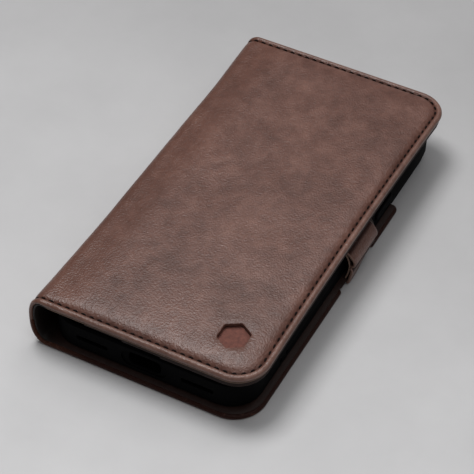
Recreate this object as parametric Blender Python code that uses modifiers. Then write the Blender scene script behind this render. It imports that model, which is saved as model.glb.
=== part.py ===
"""Folio phone wallet: a padded leather cover on a wrap-round spine, a moulded tray and a magnetic strap.

The wallet lies closed on its back cover. X runs from the spine to the opening edge, Y to the phone's
top end and Z up. The origin is under the middle of the closed wallet, on the surface it lies on.
"""
import math

import bmesh
import bpy
from mathutils import Matrix, Vector

MM = 0.001
GAP = 0.2 * MM                    # air between two layers that are glued or sewn together

# Whole object
LENGTH = 155.0 * MM
RIGHT_X = 41.0 * MM               # opening edge of the front cover
BACK_RIGHT_X = 39.6 * MM          # opening edge of the back cover
LEFT_X = -38.1 * MM               # edge of both covers at the spine
END_Y = LENGTH / 2
OUTER_RADIUS = 11.5 * MM          # corners at the opening edge
SPINE_RADIUS = 3.5 * MM           # corners at the spine
STITCH_INSET = 2.4 * MM
THREAD_RADIUS = 0.18 * MM
GROOVE_HALF = 0.45 * MM
COVER = [
    (LEFT_X, -END_Y, SPINE_RADIUS),
    (RIGHT_X, -END_Y, OUTER_RADIUS),
    (RIGHT_X, END_Y, OUTER_RADIUS),
    (LEFT_X, END_Y, SPINE_RADIUS),
]

# Back cover, cut away at the camera's corner
BACK_SKIN = 0.9 * MM
RIM_TOP = 2.3 * MM
RIM_WIDTH = 3.1 * MM
RIM_STITCH_INSET = 1.4 * MM
NOTCH_X = -4.3 * MM
NOTCH_Y = 37.2 * MM
NOTCH_RADIUS = 8.0 * MM
NOTCH_TIP_RADIUS = 2.5 * MM
BACK_BOARD = (1.1 * MM, 1.7 * MM)
BACK_LINING = (1.9 * MM, 2.3 * MM)
BACK = [
    (LEFT_X, -END_Y, SPINE_RADIUS),
    (BACK_RIGHT_X, -END_Y, OUTER_RADIUS),
    (BACK_RIGHT_X, NOTCH_Y, NOTCH_TIP_RADIUS),
    (NOTCH_X, NOTCH_Y, NOTCH_RADIUS),
    (NOTCH_X, END_Y, NOTCH_TIP_RADIUS),
    (LEFT_X, END_Y, SPINE_RADIUS),
]

# Moulded tray for a phone of 146.7 x 71.5 x 7.8 mm
TRAY_LEFT = -37.7 * MM
TRAY_RIGHT = 37.1 * MM
TRAY_END_Y = 75.1 * MM
TRAY_X = (TRAY_LEFT + TRAY_RIGHT) / 2
TRAY_BOTTOM = 2.5 * MM
TRAY_FLOOR = 4.1 * MM
TRAY_LEDGE = 12.0 * MM            # underside of the lip that holds the phone
TRAY_TOP = 13.5 * MM
TRAY_WALL = 1.5 * MM
TRAY_LIP = 2.6 * MM
TRAY_RADIUS = 11.0 * MM
PHONE_MID_Z = (TRAY_FLOOR + TRAY_LEDGE) / 2
GUARD_BOTTOM = 0.3 * MM           # camera guard that fills the back cover's cut-away corner
GUARD_GAP = 0.5 * MM
CAMERA_SIZE = 33.0 * MM
CAMERA_CENTRE = (17.1 * MM, 55.9 * MM)
CAMERA_RADIUS = 9.0 * MM
PORT_SIZE = (12.0 * MM, 5.4 * MM)
PORT_RECESS = (17.0 * MM, 7.0 * MM)
PORT_RECESS_DEPTH = 0.6 * MM
SPEAKER_SIZE = (12.0 * MM, 1.8 * MM)
SPEAKER_OFFSET = 19.5 * MM
SWITCH_SIZE = (8.0 * MM, 3.6 * MM)
SWITCH_Y = 45.5 * MM
LANYARD_RADIUS = 0.9 * MM
LANYARD_Y = (-46.5 * MM, -50.8 * MM)
LANYARD_Z = 5.6 * MM

# Button covers: name, side (+1 right wall, -1 left wall), middle along Y, length
BUTTONS = [
    ("power_button", 1, 28.0 * MM, 13.0 * MM),
    ("volume_up_button", -1, 32.0 * MM, 9.5 * MM),
    ("volume_down_button", -1, 19.5 * MM, 9.5 * MM),
]
BUTTON_HEIGHT = 3.6 * MM
BUTTON_STAND = 0.7 * MM           # how far a button cover stands out of the wall
BUTTON_DEPTH = 1.6 * MM
BUTTON_GAP = 0.3 * MM

# Front cover, from its inner face up
PANEL_INSET = 0.8 * MM
PANEL = 0.3 * MM
PANEL_PITCH = 0.5 * MM
INNER_FACE = 16.4 * MM
POCKET_MOUTHS = [("card_pocket_3", 6.0 * MM), ("card_pocket_2", -8.0 * MM),
                 ("card_pocket_1", -22.0 * MM), ("cash_pocket", -34.0 * MM)]
FRONT_LINING = (18.4 * MM, 18.8 * MM)
SKIRT_BOTTOM = 19.0 * MM
FRONT_BOARD = (19.1 * MM, 19.7 * MM)
FRONT_PADDING = (19.9 * MM, 20.5 * MM)
HOLLOW_TOP = 20.7 * MM
HOLLOW_INSET = 4.6 * MM
LAND_TOP = 20.9 * MM              # the strip that the stitches run along
CROWN_TOP = 22.0 * MM
THUMB_CUT_RADIUS = 9.0 * MM

# Emblem: a rounded hexagon cut through the front leather, with an inlay behind it
EMBLEM_CENTRE = (25.8 * MM, -62.2 * MM)
EMBLEM_RADIUS = 5.6 * MM
INLAY_RADIUS = 6.8 * MM
INLAY = (20.0 * MM, 20.5 * MM)

# Spine
FOLD_X = -39.5 * MM
FOLD_AXIS_X = -40.4 * MM          # the leather turns about its outer skin
SPINE_BOTTOM = 0.3 * MM
SPINE_TOP = 20.8 * MM
SPINE_BULGE = 1.5 * MM
SPINE_LEATHER = 1.0 * MM
SPINE_LINING = 0.5 * MM
SPINE_LINING_Z = (2.7 * MM, 16.1 * MM)
SPINE_STEPS = 12

# Strap
STRAP_Y = 4.8 * MM
STRAP_WIDTH = 19.5 * MM
STRAP_LINING_X = (37.4 * MM, 38.0 * MM)
STRAP_LEATHER_X = (38.2 * MM, 39.2 * MM)
STRAP_BASE_Z = 2.6 * MM
STRAP_LEATHER_TOP = 15.0 * MM
STRAP_LINING_TOP = 13.4 * MM
TIP_END_X = 28.5 * MM
TIP_LINING_RIGHT = 37.1 * MM
TIP_LINING_Z = (13.7 * MM, 14.3 * MM)
TIP_LEATHER_Z = (15.3 * MM, 16.2 * MM)
STRAP_MAGNET = (7.0 * MM, 14.0 * MM)
STRAP_MAGNET_Z = (14.5 * MM, 15.1 * MM)
STRAP_MAGNET_X = 33.2 * MM
KEEPER_SIZE = (6.4 * MM, 22.0 * MM)
KEEPER_X = 32.2 * MM

# Fold axes, all parallel to Y
BACK_FOLD = Vector((FOLD_AXIS_X, 0, SPINE_BOTTOM))
COVER_FOLD = Vector((FOLD_AXIS_X, 0, SPINE_TOP))
STRAP_FOLD = Vector((39.2 * MM, STRAP_Y, 2.5 * MM))
TIP_FOLD = Vector((39.2 * MM, STRAP_Y, 15.2 * MM))

LEATHER = ("leather", (0.16, 0.082, 0.058), 0.55, 0.0)
LEATHER_EDGE = ("leather_edge", (0.10, 0.040, 0.025), 0.6, 0.0)
LINING = ("lining", (0.060, 0.030, 0.022), 0.7, 0.0)
INLAY_LEATHER = ("inlay_leather", (0.19, 0.055, 0.028), 0.6, 0.0)
TRAY_PLASTIC = ("tray_plastic", (0.012, 0.012, 0.013), 0.55, 0.0)
BOARD = ("board", (0.32, 0.26, 0.19), 0.9, 0.0)
FOAM = ("foam", (0.10, 0.10, 0.10), 0.95, 0.0)
THREAD = ("thread", (0.030, 0.016, 0.012), 0.75, 0.0)
MAGNET = ("magnet", (0.55, 0.55, 0.56), 0.3, 1.0)


def clear_scene():
    for item in list(bpy.data.objects):
        bpy.data.objects.remove(item, do_unlink=True)


def new_collection(name):
    group = bpy.data.collections.new(name)
    bpy.context.scene.collection.children.link(group)
    return group


def material(spec):
    name, colour, roughness, metallic = spec
    found = bpy.data.materials.get(name)
    if found:
        return found
    made = bpy.data.materials.new(name)
    made.use_nodes = True
    shader = made.node_tree.nodes["Principled BSDF"]
    shader.inputs["Base Color"].default_value = (*colour, 1.0)
    shader.inputs["Roughness"].default_value = roughness
    shader.inputs["Metallic"].default_value = metallic
    made.diffuse_color = (*colour, 1.0)
    return made


def corner_arcs(corners, inset=0.0, steps=6):
    """Rounded corners of a counter-clockwise outline of (x, y, radius), moved inwards by inset."""
    arcs = []
    for index, (x, y, radius) in enumerate(corners):
        before = Vector(corners[index - 1][:2])
        here = Vector((x, y))
        after = Vector(corners[(index + 1) % len(corners)][:2])
        way_in = (here - before).normalized()
        way_out = (after - here).normalized()
        left_in = Vector((-way_in.y, way_in.x))
        left_out = Vector((-way_out.y, way_out.x))
        here = here + inset * (left_in + left_out) / (1.0 + left_in.dot(left_out))
        turn = math.atan2(way_in.cross(way_out), way_in.dot(way_out))
        side = math.copysign(1.0, turn)
        radius = max(radius - side * inset, 0.05 * MM)
        centre = here - way_in * radius * math.tan(abs(turn) / 2) + side * left_in * radius
        spoke = -side * left_in * radius
        count = max(2, round(steps * abs(turn) / (math.pi / 2)))
        arcs.append([centre + Matrix.Rotation(turn * k / count, 2) @ spoke for k in range(count + 1)])
    return arcs


def rounded(corners, inset=0.0, steps=6):
    return [point for arc in corner_arcs(corners, inset, steps) for point in arc]


def box_corners(x0, x1, y0, y1, radius):
    return [(x0, y0, radius), (x1, y0, radius), (x1, y1, radius), (x0, y1, radius)]


def hexagon(centre, circumradius, corner):
    points = []
    for k in range(6):
        angle = math.radians(60 * k + 30)
        points.append((centre[0] + circumradius * math.cos(angle),
                       centre[1] + circumradius * math.sin(angle), corner))
    return points


def finish(piece, group, spec, fold=None):
    """Put a piece in its collection, give it its material and hang it on its fold's empty."""
    group.objects.link(piece)
    piece.data.materials.append(material(spec))
    if fold:
        piece.parent = fold
        piece.matrix_parent_inverse = fold.matrix_world.inverted()
    return piece


def plate_data(name, outline, thickness):
    """Flat filled curve of an outline, thick equally to both sides of its plane."""
    curve = bpy.data.curves.new(name, "CURVE")
    curve.dimensions = "2D"
    curve.fill_mode = "BOTH"
    curve.extrude = thickness / 2
    spline = curve.splines.new("POLY")
    spline.points.add(len(outline) - 1)
    for point, (x, y) in zip(spline.points, outline):
        point.co = (x, y, 0.0, 1.0)
    spline.use_cyclic_u = True
    return curve


def plate(name, outline, levels, group, spec, fold=None):
    """Sheet of a given outline between two heights."""
    low, high = levels
    piece = bpy.data.objects.new(name, plate_data(name, outline, high - low))
    piece.location.z = (low + high) / 2
    return finish(piece, group, spec, fold)


def as_mesh(piece):
    """Turn a curve object into a mesh object with welded caps, so that it can be cut or can cut."""
    bpy.context.view_layer.update()
    seen = piece.evaluated_get(bpy.context.evaluated_depsgraph_get())
    mesh = bpy.data.meshes.new_from_object(seen)
    body = bmesh.new()
    body.from_mesh(mesh)
    bmesh.ops.remove_doubles(body, verts=body.verts, dist=0.01 * MM)
    bmesh.ops.recalc_face_normals(body, faces=body.faces)
    body.to_mesh(mesh)
    body.free()
    name = piece.name
    made = bpy.data.objects.new(name + "_mesh", mesh)
    made.parent = piece.parent
    made.matrix_parent_inverse = piece.matrix_parent_inverse.copy()
    made.matrix_world = piece.matrix_world.copy()
    for group in piece.users_collection:
        group.objects.link(made)
    bpy.data.objects.remove(piece, do_unlink=True)
    made.name = name
    return made


def as_cutter(piece):
    piece.hide_render = True
    piece.display_type = "WIRE"
    return piece


def cutter(name, size, centre, axis, radius, cutters):
    """Rounded bar of size (across, up) and length along one axis, for cutting the tray."""
    across, up, length = size
    outline = rounded(box_corners(-across / 2, across / 2, -up / 2, up / 2, radius), steps=4)
    piece = bpy.data.objects.new(name, plate_data(name, outline, length))
    if axis == "Y":
        piece.rotation_euler = (math.pi / 2, 0, 0)
    if axis == "X":
        piece.rotation_euler = (math.pi / 2, 0, math.pi / 2)
    piece.location = centre
    cutters.objects.link(piece)
    return as_cutter(as_mesh(piece))


def boolean(piece, other, operation="DIFFERENCE"):
    step = piece.modifiers.new(other.name, "BOOLEAN")
    step.operation = operation
    step.solver = "EXACT"
    step.object = other


def loft(name, rings, group, spec, fold=None):
    """Closed body through a row of rings with equal counts, capped at the first and the last."""
    body = bmesh.new()
    loops = [[body.verts.new(point) for point in ring] for ring in rings]
    for lower, upper in zip(loops, loops[1:]):
        for k in range(len(lower)):
            following = (k + 1) % len(lower)
            body.faces.new((lower[k], lower[following], upper[following], upper[k]))
    body.faces.new(loops[0])
    body.faces.new(loops[-1])
    bmesh.ops.recalc_face_normals(body, faces=body.faces)
    mesh = bpy.data.meshes.new(name)
    body.to_mesh(mesh)
    body.free()
    mesh.shade_smooth()
    mesh.set_sharp_from_angle(angle=math.radians(35))
    return finish(bpy.data.objects.new(name, mesh), group, spec, fold)


def swept_plate(name, corners, section, group, spec, fold=None):
    """Plate whose edge section, a row of (inset, height), runs all the way round its outline."""
    rings = []
    for inset, height in section:
        rings.append([(point.x, point.y, height) for point in rounded(corners, inset)])
    return loft(name, rings, group, spec, fold)


def thread(name, points, group, fold=None):
    """Continuous sewing thread along a row of points."""
    curve = bpy.data.curves.new(name, "CURVE")
    curve.dimensions = "3D"
    curve.bevel_depth = THREAD_RADIUS
    curve.bevel_resolution = 1
    curve.use_fill_caps = True
    spline = curve.splines.new("POLY")
    spline.points.add(len(points) - 1)
    for spot, point in zip(spline.points, points):
        spot.co = (*point, 1.0)
    return finish(bpy.data.objects.new(name, curve), group, THREAD, fold)


def edge_run(corners, inset, height):
    """Open run round the free sides of an outline, from one end of the spine to the other."""
    arcs = corner_arcs(corners, inset)
    start = (LEFT_X + SPINE_RADIUS, -END_Y + inset)
    end = (LEFT_X + SPINE_RADIUS, END_Y - inset)
    middle = [point for arc in arcs[1:-1] for point in arc]
    return [(*start, height)] + [(p.x, p.y, height) for p in middle] + [(*end, height)]


def fold_empty(name, place, group, parent=None):
    empty = bpy.data.objects.new(name, None)
    empty.empty_display_size = 5 * MM
    empty.location = place
    group.objects.link(empty)
    if parent:
        empty.parent = parent
        empty.matrix_parent_inverse = parent.matrix_world.inverted()
    bpy.context.view_layer.update()
    return empty


def make_back(group):
    section = [
        (RIM_WIDTH, BACK_SKIN),
        (RIM_WIDTH, RIM_TOP),
        (RIM_STITCH_INSET + GROOVE_HALF, RIM_TOP),
        (RIM_STITCH_INSET + GROOVE_HALF, RIM_TOP - 0.6 * MM),
        (RIM_STITCH_INSET - GROOVE_HALF, RIM_TOP - 0.6 * MM),
        (RIM_STITCH_INSET - GROOVE_HALF, RIM_TOP - 0.1 * MM),
        (0.45 * MM, RIM_TOP - 0.3 * MM),
        (0.0, RIM_TOP * 0.55),
        (0.15 * MM, 0.5 * MM),
        (0.7 * MM, 0.0),
    ]
    swept_plate("back_leather", BACK, section, group, LEATHER)
    inner = rounded(BACK, RIM_WIDTH + 0.3 * MM)
    plate("back_board", inner, BACK_BOARD, group, BOARD)
    plate("back_lining", inner, BACK_LINING, group, LINING)
    thread("back_stitching", edge_run(BACK, RIM_STITCH_INSET, RIM_TOP - 0.3 * MM), group)


def make_tray(group, cutters):
    outline = box_corners(TRAY_LEFT, TRAY_RIGHT, -TRAY_END_Y, TRAY_END_Y, TRAY_RADIUS)
    section = [
        (TRAY_WALL + 0.5 * MM, TRAY_FLOOR),
        (TRAY_WALL, TRAY_FLOOR + 0.6 * MM),
        (TRAY_WALL, TRAY_LEDGE),
        (TRAY_LIP, TRAY_LEDGE + 0.3 * MM),
        (TRAY_LIP, TRAY_TOP - 0.4 * MM),
        (TRAY_LIP - 0.5 * MM, TRAY_TOP),
        (0.8 * MM, TRAY_TOP),
        (0.1 * MM, TRAY_TOP - 0.8 * MM),
        (0.0, PHONE_MID_Z),
        (0.1 * MM, TRAY_BOTTOM + 0.8 * MM),
        (0.9 * MM, TRAY_BOTTOM),
    ]
    tray = swept_plate("phone_tray", outline, section, group, TRAY_PLASTIC)

    guard = [
        (NOTCH_X + GUARD_GAP, NOTCH_Y + GUARD_GAP, NOTCH_RADIUS - GUARD_GAP),
        (TRAY_RIGHT, NOTCH_Y + GUARD_GAP, 1.0 * MM),
        (TRAY_RIGHT, TRAY_END_Y, TRAY_RADIUS),
        (NOTCH_X + GUARD_GAP, TRAY_END_Y, 1.0 * MM),
    ]
    levels = (GUARD_BOTTOM, TRAY_BOTTOM + 0.6 * MM)
    guard_plate = as_mesh(plate("camera_guard", rounded(guard, 0.9 * MM), levels, cutters, TRAY_PLASTIC))
    boolean(tray, as_cutter(guard_plate), "UNION")

    wall_y = -TRAY_END_Y + TRAY_WALL / 2
    centre = (*CAMERA_CENTRE, TRAY_BOTTOM)
    size = (CAMERA_SIZE, CAMERA_SIZE, 8 * MM)
    boolean(tray, cutter("camera_opening", size, centre, "Z", CAMERA_RADIUS, cutters))
    port = (*PORT_SIZE, 8 * MM)
    boolean(tray, cutter("port_opening", port, (TRAY_X, wall_y, PHONE_MID_Z), "Y", 1.8 * MM, cutters))
    recess = (*PORT_RECESS, 2 * PORT_RECESS_DEPTH)
    place = (TRAY_X, -TRAY_END_Y, PHONE_MID_Z)
    boolean(tray, cutter("port_recess", recess, place, "Y", 3.2 * MM, cutters))
    for name, side in (("speaker_opening", 1), ("microphone_opening", -1)):
        place = (TRAY_X + side * SPEAKER_OFFSET, wall_y, PHONE_MID_Z)
        boolean(tray, cutter(name, (*SPEAKER_SIZE, 8 * MM), place, "Y", 0.85 * MM, cutters))
    place = (TRAY_LEFT + TRAY_WALL / 2, SWITCH_Y, PHONE_MID_Z)
    boolean(tray, cutter("switch_opening", (*SWITCH_SIZE, 6 * MM), place, "X", 1.7 * MM, cutters))
    for number, y in enumerate(LANYARD_Y, start=1):
        bpy.ops.mesh.primitive_cylinder_add(vertices=12, radius=LANYARD_RADIUS, depth=6 * MM)
        hole = bpy.context.active_object
        hole.name = f"lanyard_hole_{number}"
        hole.rotation_euler = (0, math.pi / 2, 0)
        hole.location = (TRAY_RIGHT - TRAY_WALL / 2, y, LANYARD_Z)
        for owner in list(hole.users_collection):
            owner.objects.unlink(hole)
        cutters.objects.link(hole)
        boolean(tray, as_cutter(hole))

    for name, side, y, length in BUTTONS:
        wall_x = TRAY_RIGHT if side > 0 else TRAY_LEFT
        window = (length + 2 * BUTTON_GAP, BUTTON_HEIGHT + 2 * BUTTON_GAP, 6 * MM)
        place = (wall_x - side * TRAY_WALL / 2, y, PHONE_MID_Z)
        boolean(tray, cutter(name + "_window", window, place, "X", 1.8 * MM, cutters))
        make_button(name, wall_x + side * BUTTON_STAND, side, y, length, group)


def make_button(name, face_x, side, y, length, group):
    """Button cover with a softly rounded face, which slides straight into the tray's wall."""
    slide = fold_empty(name + "_slide", (face_x, y, PHONE_MID_Z), group)
    outline = box_corners(-length / 2, length / 2, -BUTTON_HEIGHT / 2, BUTTON_HEIGHT / 2, 1.6 * MM)
    rings = []
    for inset, depth in ((0, -BUTTON_DEPTH), (0, -0.35 * MM), (0.35 * MM, 0)):
        ring = []
        for point in rounded(outline, inset, steps=4):
            ring.append((face_x + side * depth, y + side * point.x, PHONE_MID_Z + point.y))
        rings.append(ring)
    loft(name, rings, group, TRAY_PLASTIC, slide)


def spine_x(z):
    """Outer face of the spine: a barrel curve between the two folds."""
    middle = (SPINE_BOTTOM + SPINE_TOP) / 2
    reach = abs(z - middle) / ((SPINE_TOP - SPINE_BOTTOM) / 2)
    return FOLD_X - SPINE_BULGE * (1.0 - reach ** 3)


def spine_section(levels, near, far):
    """Closed band of the spine's section between two depths under its outer face."""
    low, high = levels
    heights = [low + (high - low) * k / SPINE_STEPS for k in range(SPINE_STEPS + 1)]
    outer = [(spine_x(z) + near, z) for z in heights]
    inner = [(spine_x(z) + far, z) for z in reversed(heights)]
    return outer + inner


def spine_band(name, levels, stations, group, spec, fold):
    """Spine layer through stations of (y, near depth, far depth) along its length."""
    rings = []
    for y, near, far in stations:
        rings.append([(x, y, z) for x, z in spine_section(levels, near, far)])
    loft(name, rings, group, spec, fold)


def make_spine(group, fold):
    seam = END_Y - STITCH_INSET
    stations = []
    for end in (-1, 1):
        marks = [(END_Y, 0.0), (seam + GROOVE_HALF, 0.0), (seam + GROOVE_HALF, 0.5 * MM),
                 (seam - GROOVE_HALF, 0.5 * MM), (seam - GROOVE_HALF, 0.0)]
        for y, depth in marks[::-end]:
            stations.append((end * y, depth, SPINE_LEATHER))
    spine_band("spine_leather", (SPINE_BOTTOM, SPINE_TOP), stations, group, LEATHER, fold)

    near = SPINE_LEATHER + GAP
    far = near + SPINE_LINING
    inner = [(y, near, far) for y in (-END_Y + 1.0 * MM, END_Y - 1.0 * MM)]
    spine_band("spine_lining", SPINE_LINING_Z, inner, group, LINING, fold)

    heights = [SPINE_BOTTOM + (SPINE_TOP - SPINE_BOTTOM) * k / SPINE_STEPS for k in range(1, SPINE_STEPS)]
    for name, end in (("spine_stitching_bottom", -1), ("spine_stitching_top", 1)):
        run = [(spine_x(z) + 0.25 * MM, end * seam, z) for z in heights]
        thread(name, run, group, fold)


def make_front(group, cutters, fold):
    section = [
        (HOLLOW_INSET, HOLLOW_TOP),
        (HOLLOW_INSET, SKIRT_BOTTOM),
        (0.6 * MM, SKIRT_BOTTOM),
        (0.1 * MM, SKIRT_BOTTOM + 0.5 * MM),
        (0.0, SKIRT_BOTTOM + 1.0 * MM),
        (0.4 * MM, LAND_TOP - 0.2 * MM),
        (1.1 * MM, LAND_TOP + 0.1 * MM),
        (STITCH_INSET - GROOVE_HALF, LAND_TOP - 0.1 * MM),
        (STITCH_INSET - GROOVE_HALF, LAND_TOP - 0.6 * MM),
        (STITCH_INSET + GROOVE_HALF, LAND_TOP - 0.6 * MM),
        (STITCH_INSET + GROOVE_HALF, LAND_TOP),
        (4.6 * MM, LAND_TOP + 0.45 * MM),
        (7.0 * MM, CROWN_TOP - 0.2 * MM),
        (11.0 * MM, CROWN_TOP),
    ]
    leather = swept_plate("front_leather", COVER, section, group, LEATHER, fold)
    opening = rounded(hexagon(EMBLEM_CENTRE, EMBLEM_RADIUS, 1.0 * MM), steps=3)
    levels = (HOLLOW_TOP - 1.0 * MM, CROWN_TOP + 1.0 * MM)
    boolean(leather, as_cutter(as_mesh(plate("emblem_cut", opening, levels, cutters, LEATHER))))

    inner = rounded(COVER, HOLLOW_INSET + 0.3 * MM)
    board = as_mesh(plate("front_board", inner, FRONT_BOARD, group, BOARD, fold))
    half_x = KEEPER_SIZE[0] / 2
    half_y = KEEPER_SIZE[1] / 2
    keeper = box_corners(KEEPER_X - half_x, KEEPER_X + half_x, STRAP_Y - half_y, STRAP_Y + half_y, 1.0 * MM)
    pocket = rounded(keeper, -0.3 * MM, steps=3)
    levels = (FRONT_BOARD[0] - 1.0 * MM, FRONT_BOARD[1] + 1.0 * MM)
    boolean(board, as_cutter(as_mesh(plate("keeper_pocket", pocket, levels, cutters, BOARD))))
    plate("keeper_plate", rounded(keeper, steps=3), FRONT_BOARD, group, MAGNET, fold)

    padding = as_mesh(plate("front_padding", inner, FRONT_PADDING, group, FOAM, fold))
    inlay = hexagon(EMBLEM_CENTRE, INLAY_RADIUS, 1.2 * MM)
    levels = (FRONT_PADDING[0] - 1.0 * MM, FRONT_PADDING[1] + 1.0 * MM)
    pocket = rounded(inlay, -0.3 * MM, steps=3)
    boolean(padding, as_cutter(as_mesh(plate("inlay_pocket", pocket, levels, cutters, FOAM))))
    plate("emblem_inlay", rounded(inlay, steps=3), INLAY, group, INLAY_LEATHER, fold)

    plate("front_lining", rounded(COVER, PANEL_INSET), FRONT_LINING, group, LINING, fold)
    for row, (name, mouth_x) in enumerate(POCKET_MOUTHS):
        low = INNER_FACE + row * PANEL_PITCH
        make_pocket(name, mouth_x, (low, low + PANEL), group, cutters, fold)
    thread("front_stitching", edge_run(COVER, STITCH_INSET, LAND_TOP - 0.32 * MM), group, fold)


def make_pocket(name, mouth_x, levels, group, cutters, fold):
    """Pocket panel sewn on three sides, open towards the spine, with a thumb notch in its mouth."""
    corners = [
        (mouth_x, -END_Y, 0.1 * MM),
        (RIGHT_X, -END_Y, OUTER_RADIUS),
        (RIGHT_X, END_Y, OUTER_RADIUS),
        (mouth_x, END_Y, 0.1 * MM),
    ]
    panel = as_mesh(plate(name, rounded(corners, PANEL_INSET), levels, group, LINING, fold))
    bpy.ops.mesh.primitive_cylinder_add(vertices=32, radius=THUMB_CUT_RADIUS, depth=4 * MM)
    notch = bpy.context.active_object
    notch.name = name + "_thumb_cut"
    notch.location = (mouth_x - 0.45 * THUMB_CUT_RADIUS, 0.0, sum(levels) / 2)
    for owner in list(notch.users_collection):
        owner.objects.unlink(notch)
    cutters.objects.link(notch)
    boolean(panel, as_cutter(notch))


def strap_layer(name, x_span, z_span, group, spec, fold, soft_edge=0.25 * MM):
    """Flat strap layer as a block with eased edges."""
    bpy.ops.mesh.primitive_cube_add(size=1.0)
    piece = bpy.context.active_object
    piece.name = name
    size = (x_span[1] - x_span[0], STRAP_WIDTH, z_span[1] - z_span[0])
    centre = Vector((sum(x_span) / 2, STRAP_Y, sum(z_span) / 2))
    piece.data.transform(Matrix.Translation(centre) @ Matrix.Diagonal((*size, 1.0)))
    for owner in list(piece.users_collection):
        owner.objects.unlink(piece)
    soften = piece.modifiers.new("eased_edges", "BEVEL")
    soften.width = soft_edge
    soften.segments = 2
    return finish(piece, group, spec, fold)


def make_strap(group, riser, tip):
    """Two leather layers that rise outside the tray's wall, and a tip that lies on its edge."""
    layer_z = (STRAP_BASE_Z, STRAP_LEATHER_TOP)
    strap_layer("strap_leather", STRAP_LEATHER_X, layer_z, group, LEATHER, riser)
    layer_z = (STRAP_BASE_Z, STRAP_LINING_TOP)
    strap_layer("strap_lining", STRAP_LINING_X, layer_z, group, LINING, riser, 0.15 * MM)

    tip_y = (STRAP_Y - STRAP_WIDTH / 2, STRAP_Y + STRAP_WIDTH / 2)
    outer = [
        (TIP_END_X, tip_y[0], 4.0 * MM),
        (STRAP_LEATHER_X[1], tip_y[0], 0.5 * MM),
        (STRAP_LEATHER_X[1], tip_y[1], 0.5 * MM),
        (TIP_END_X, tip_y[1], 4.0 * MM),
    ]
    plate("strap_tip_leather", rounded(outer), TIP_LEATHER_Z, group, LEATHER, tip)
    inner = [(min(x, TIP_LINING_RIGHT), y, radius) for x, y, radius in outer]
    plate("strap_tip_lining", rounded(inner), TIP_LINING_Z, group, LINING, tip)
    half_x = STRAP_MAGNET[0] / 2
    half_y = STRAP_MAGNET[1] / 2
    magnet = box_corners(STRAP_MAGNET_X - half_x, STRAP_MAGNET_X + half_x,
                         STRAP_Y - half_y, STRAP_Y + half_y, 0.8 * MM)
    plate("strap_magnet", rounded(magnet, steps=3), STRAP_MAGNET_Z, group, MAGNET, tip)


def main():
    clear_scene()
    parts = new_collection("phone_wallet_case")
    cutters = new_collection("cutters")
    back_fold = fold_empty("spine_fold", BACK_FOLD, parts)
    cover_fold = fold_empty("cover_fold", COVER_FOLD, parts, back_fold)
    strap_fold = fold_empty("strap_fold", STRAP_FOLD, parts)
    tip_fold = fold_empty("strap_tip_fold", TIP_FOLD, parts, strap_fold)
    make_back(parts)
    make_tray(parts, cutters)
    make_spine(parts, back_fold)
    make_front(parts, cutters, cover_fold)
    make_strap(parts, strap_fold, tip_fold)


main()
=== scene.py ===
"""Looks of a leather folio phone wallet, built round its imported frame.

Pieces are shaped in millimetres and scaled to metres as they are made. The covers are drawn unrolled, as
(s, y, h): s runs along X and round the spine, y along the wallet, h out of the cover's face. wrap() rolls
them up.
"""

import math

import bmesh
import bpy
import numpy as np
from mathutils import Euler, Matrix, Vector, geometry, kdtree, noise


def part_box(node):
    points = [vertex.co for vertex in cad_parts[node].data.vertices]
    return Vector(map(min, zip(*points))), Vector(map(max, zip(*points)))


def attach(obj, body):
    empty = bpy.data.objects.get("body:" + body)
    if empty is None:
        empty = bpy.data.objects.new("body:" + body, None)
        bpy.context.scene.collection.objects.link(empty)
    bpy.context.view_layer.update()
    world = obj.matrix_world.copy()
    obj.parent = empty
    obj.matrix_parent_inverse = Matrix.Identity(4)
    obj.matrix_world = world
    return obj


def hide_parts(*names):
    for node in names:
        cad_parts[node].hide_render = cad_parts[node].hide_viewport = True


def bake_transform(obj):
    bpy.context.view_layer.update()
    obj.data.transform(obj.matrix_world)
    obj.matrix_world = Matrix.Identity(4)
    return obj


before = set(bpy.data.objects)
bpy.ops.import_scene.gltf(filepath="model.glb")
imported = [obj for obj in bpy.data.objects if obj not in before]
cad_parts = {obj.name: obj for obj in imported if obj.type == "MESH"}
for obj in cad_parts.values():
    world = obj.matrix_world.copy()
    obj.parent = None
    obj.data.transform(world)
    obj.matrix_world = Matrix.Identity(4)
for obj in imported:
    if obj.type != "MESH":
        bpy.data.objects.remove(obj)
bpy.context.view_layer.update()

MM = 0.001


def box_mm(node):
    """Lowest and highest corner of a CAD node, in millimetres."""
    low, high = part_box(node)
    return low / MM, high / MM


# Places of the frame
FRONT_HIGH = box_mm("front_leather")[1]
BACK_HIGH = box_mm("back_leather")[1]
STRAP_LOW, STRAP_HIGH = box_mm("strap_leather")
TIP_LOW, TIP_HIGH = box_mm("strap_tip_leather")
INLAY_LOW, INLAY_HIGH = box_mm("emblem_inlay")

END_Y = FRONT_HIGH.y
RIGHT = FRONT_HIGH.x
BACK_RIGHT = BACK_HIGH.x
CORNER = 11.5                     # radius of the covers' corners at the opening edge
LAND = FRONT_HIGH.z - 1.1         # height of the strip that the stitches run along
FOLD_S = -35.5                    # where the covers start to turn down into the spine
SPINE_REACH = 5.7                 # how far the spine bulges past that, at mid length
SPINE_FLARE = 1.2                 # and how much more at its two ends
FLARE_START = 40.0                # how far from mid length the spine starts to widen
SHARE_STEP = 0.02                 # share of the turn over which its slope is measured
NOTCH_X = -4.3                    # corner cut out of the back cover for the camera
NOTCH_Y = 37.2
RECESS = (-9.6, 14.9)             # stretch of the back cover's edge that makes room for the strap
LEATHER_RECESS = 1.3              # how far the leather is drawn back there
LINING_RECESS = -0.6              # and the lining, which stands out instead: a near-black edge put over the notch, where there is only shade
RECESS_START = 3.7                # how far in from the edge that starts

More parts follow.
